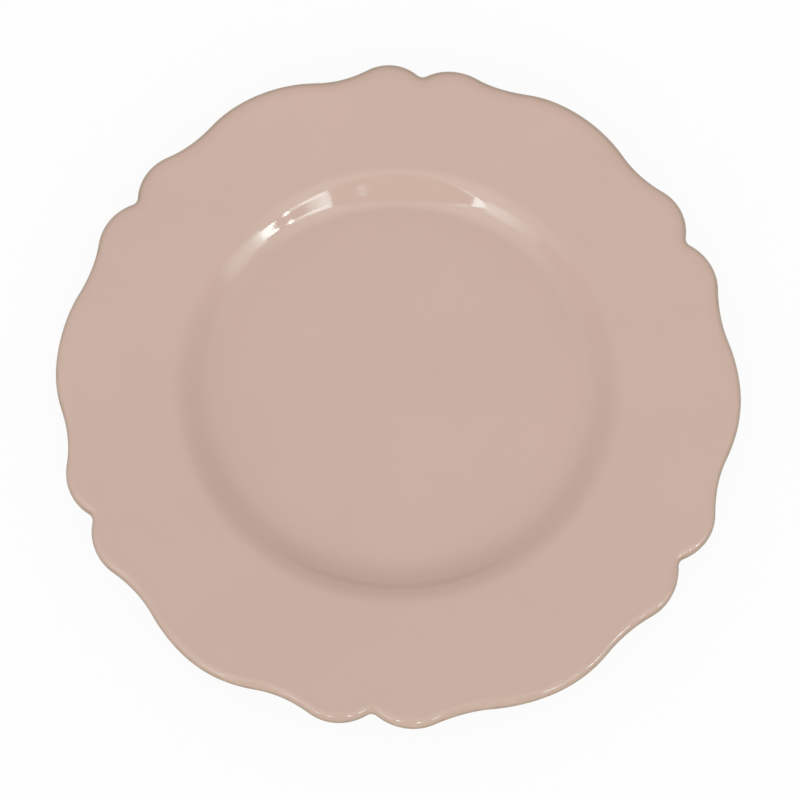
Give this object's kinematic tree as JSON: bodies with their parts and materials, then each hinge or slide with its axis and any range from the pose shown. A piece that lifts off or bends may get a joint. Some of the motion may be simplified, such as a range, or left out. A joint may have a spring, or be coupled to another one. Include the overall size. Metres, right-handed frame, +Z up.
{
  "type": "scalloped dessert plate",
  "caption": "Round glazed ceramic dessert plate with a scalloped edge, a wide gently rising rim, a shallow round well and a bare foot ring.",
  "frame": {"origin": "centre of the plate on the surface that it stands on", "axes": "+Z up along the plate's axis, out of the well; +Y through a notch of the edge; +X through the crest of a broad lobe"},
  "size_m": [0.21, 0.2084, 0.0185],
  "materials": {
    "clay": "bare fired clay, fine grained and matt",
    "glaze": "dusty pink, smooth and glossy"
  },
  "bodies": {
    "root": {"clay_body": "clay", "glaze_coat": "glaze", "base_glaze": "glaze"}
  },
  "joints": []
}
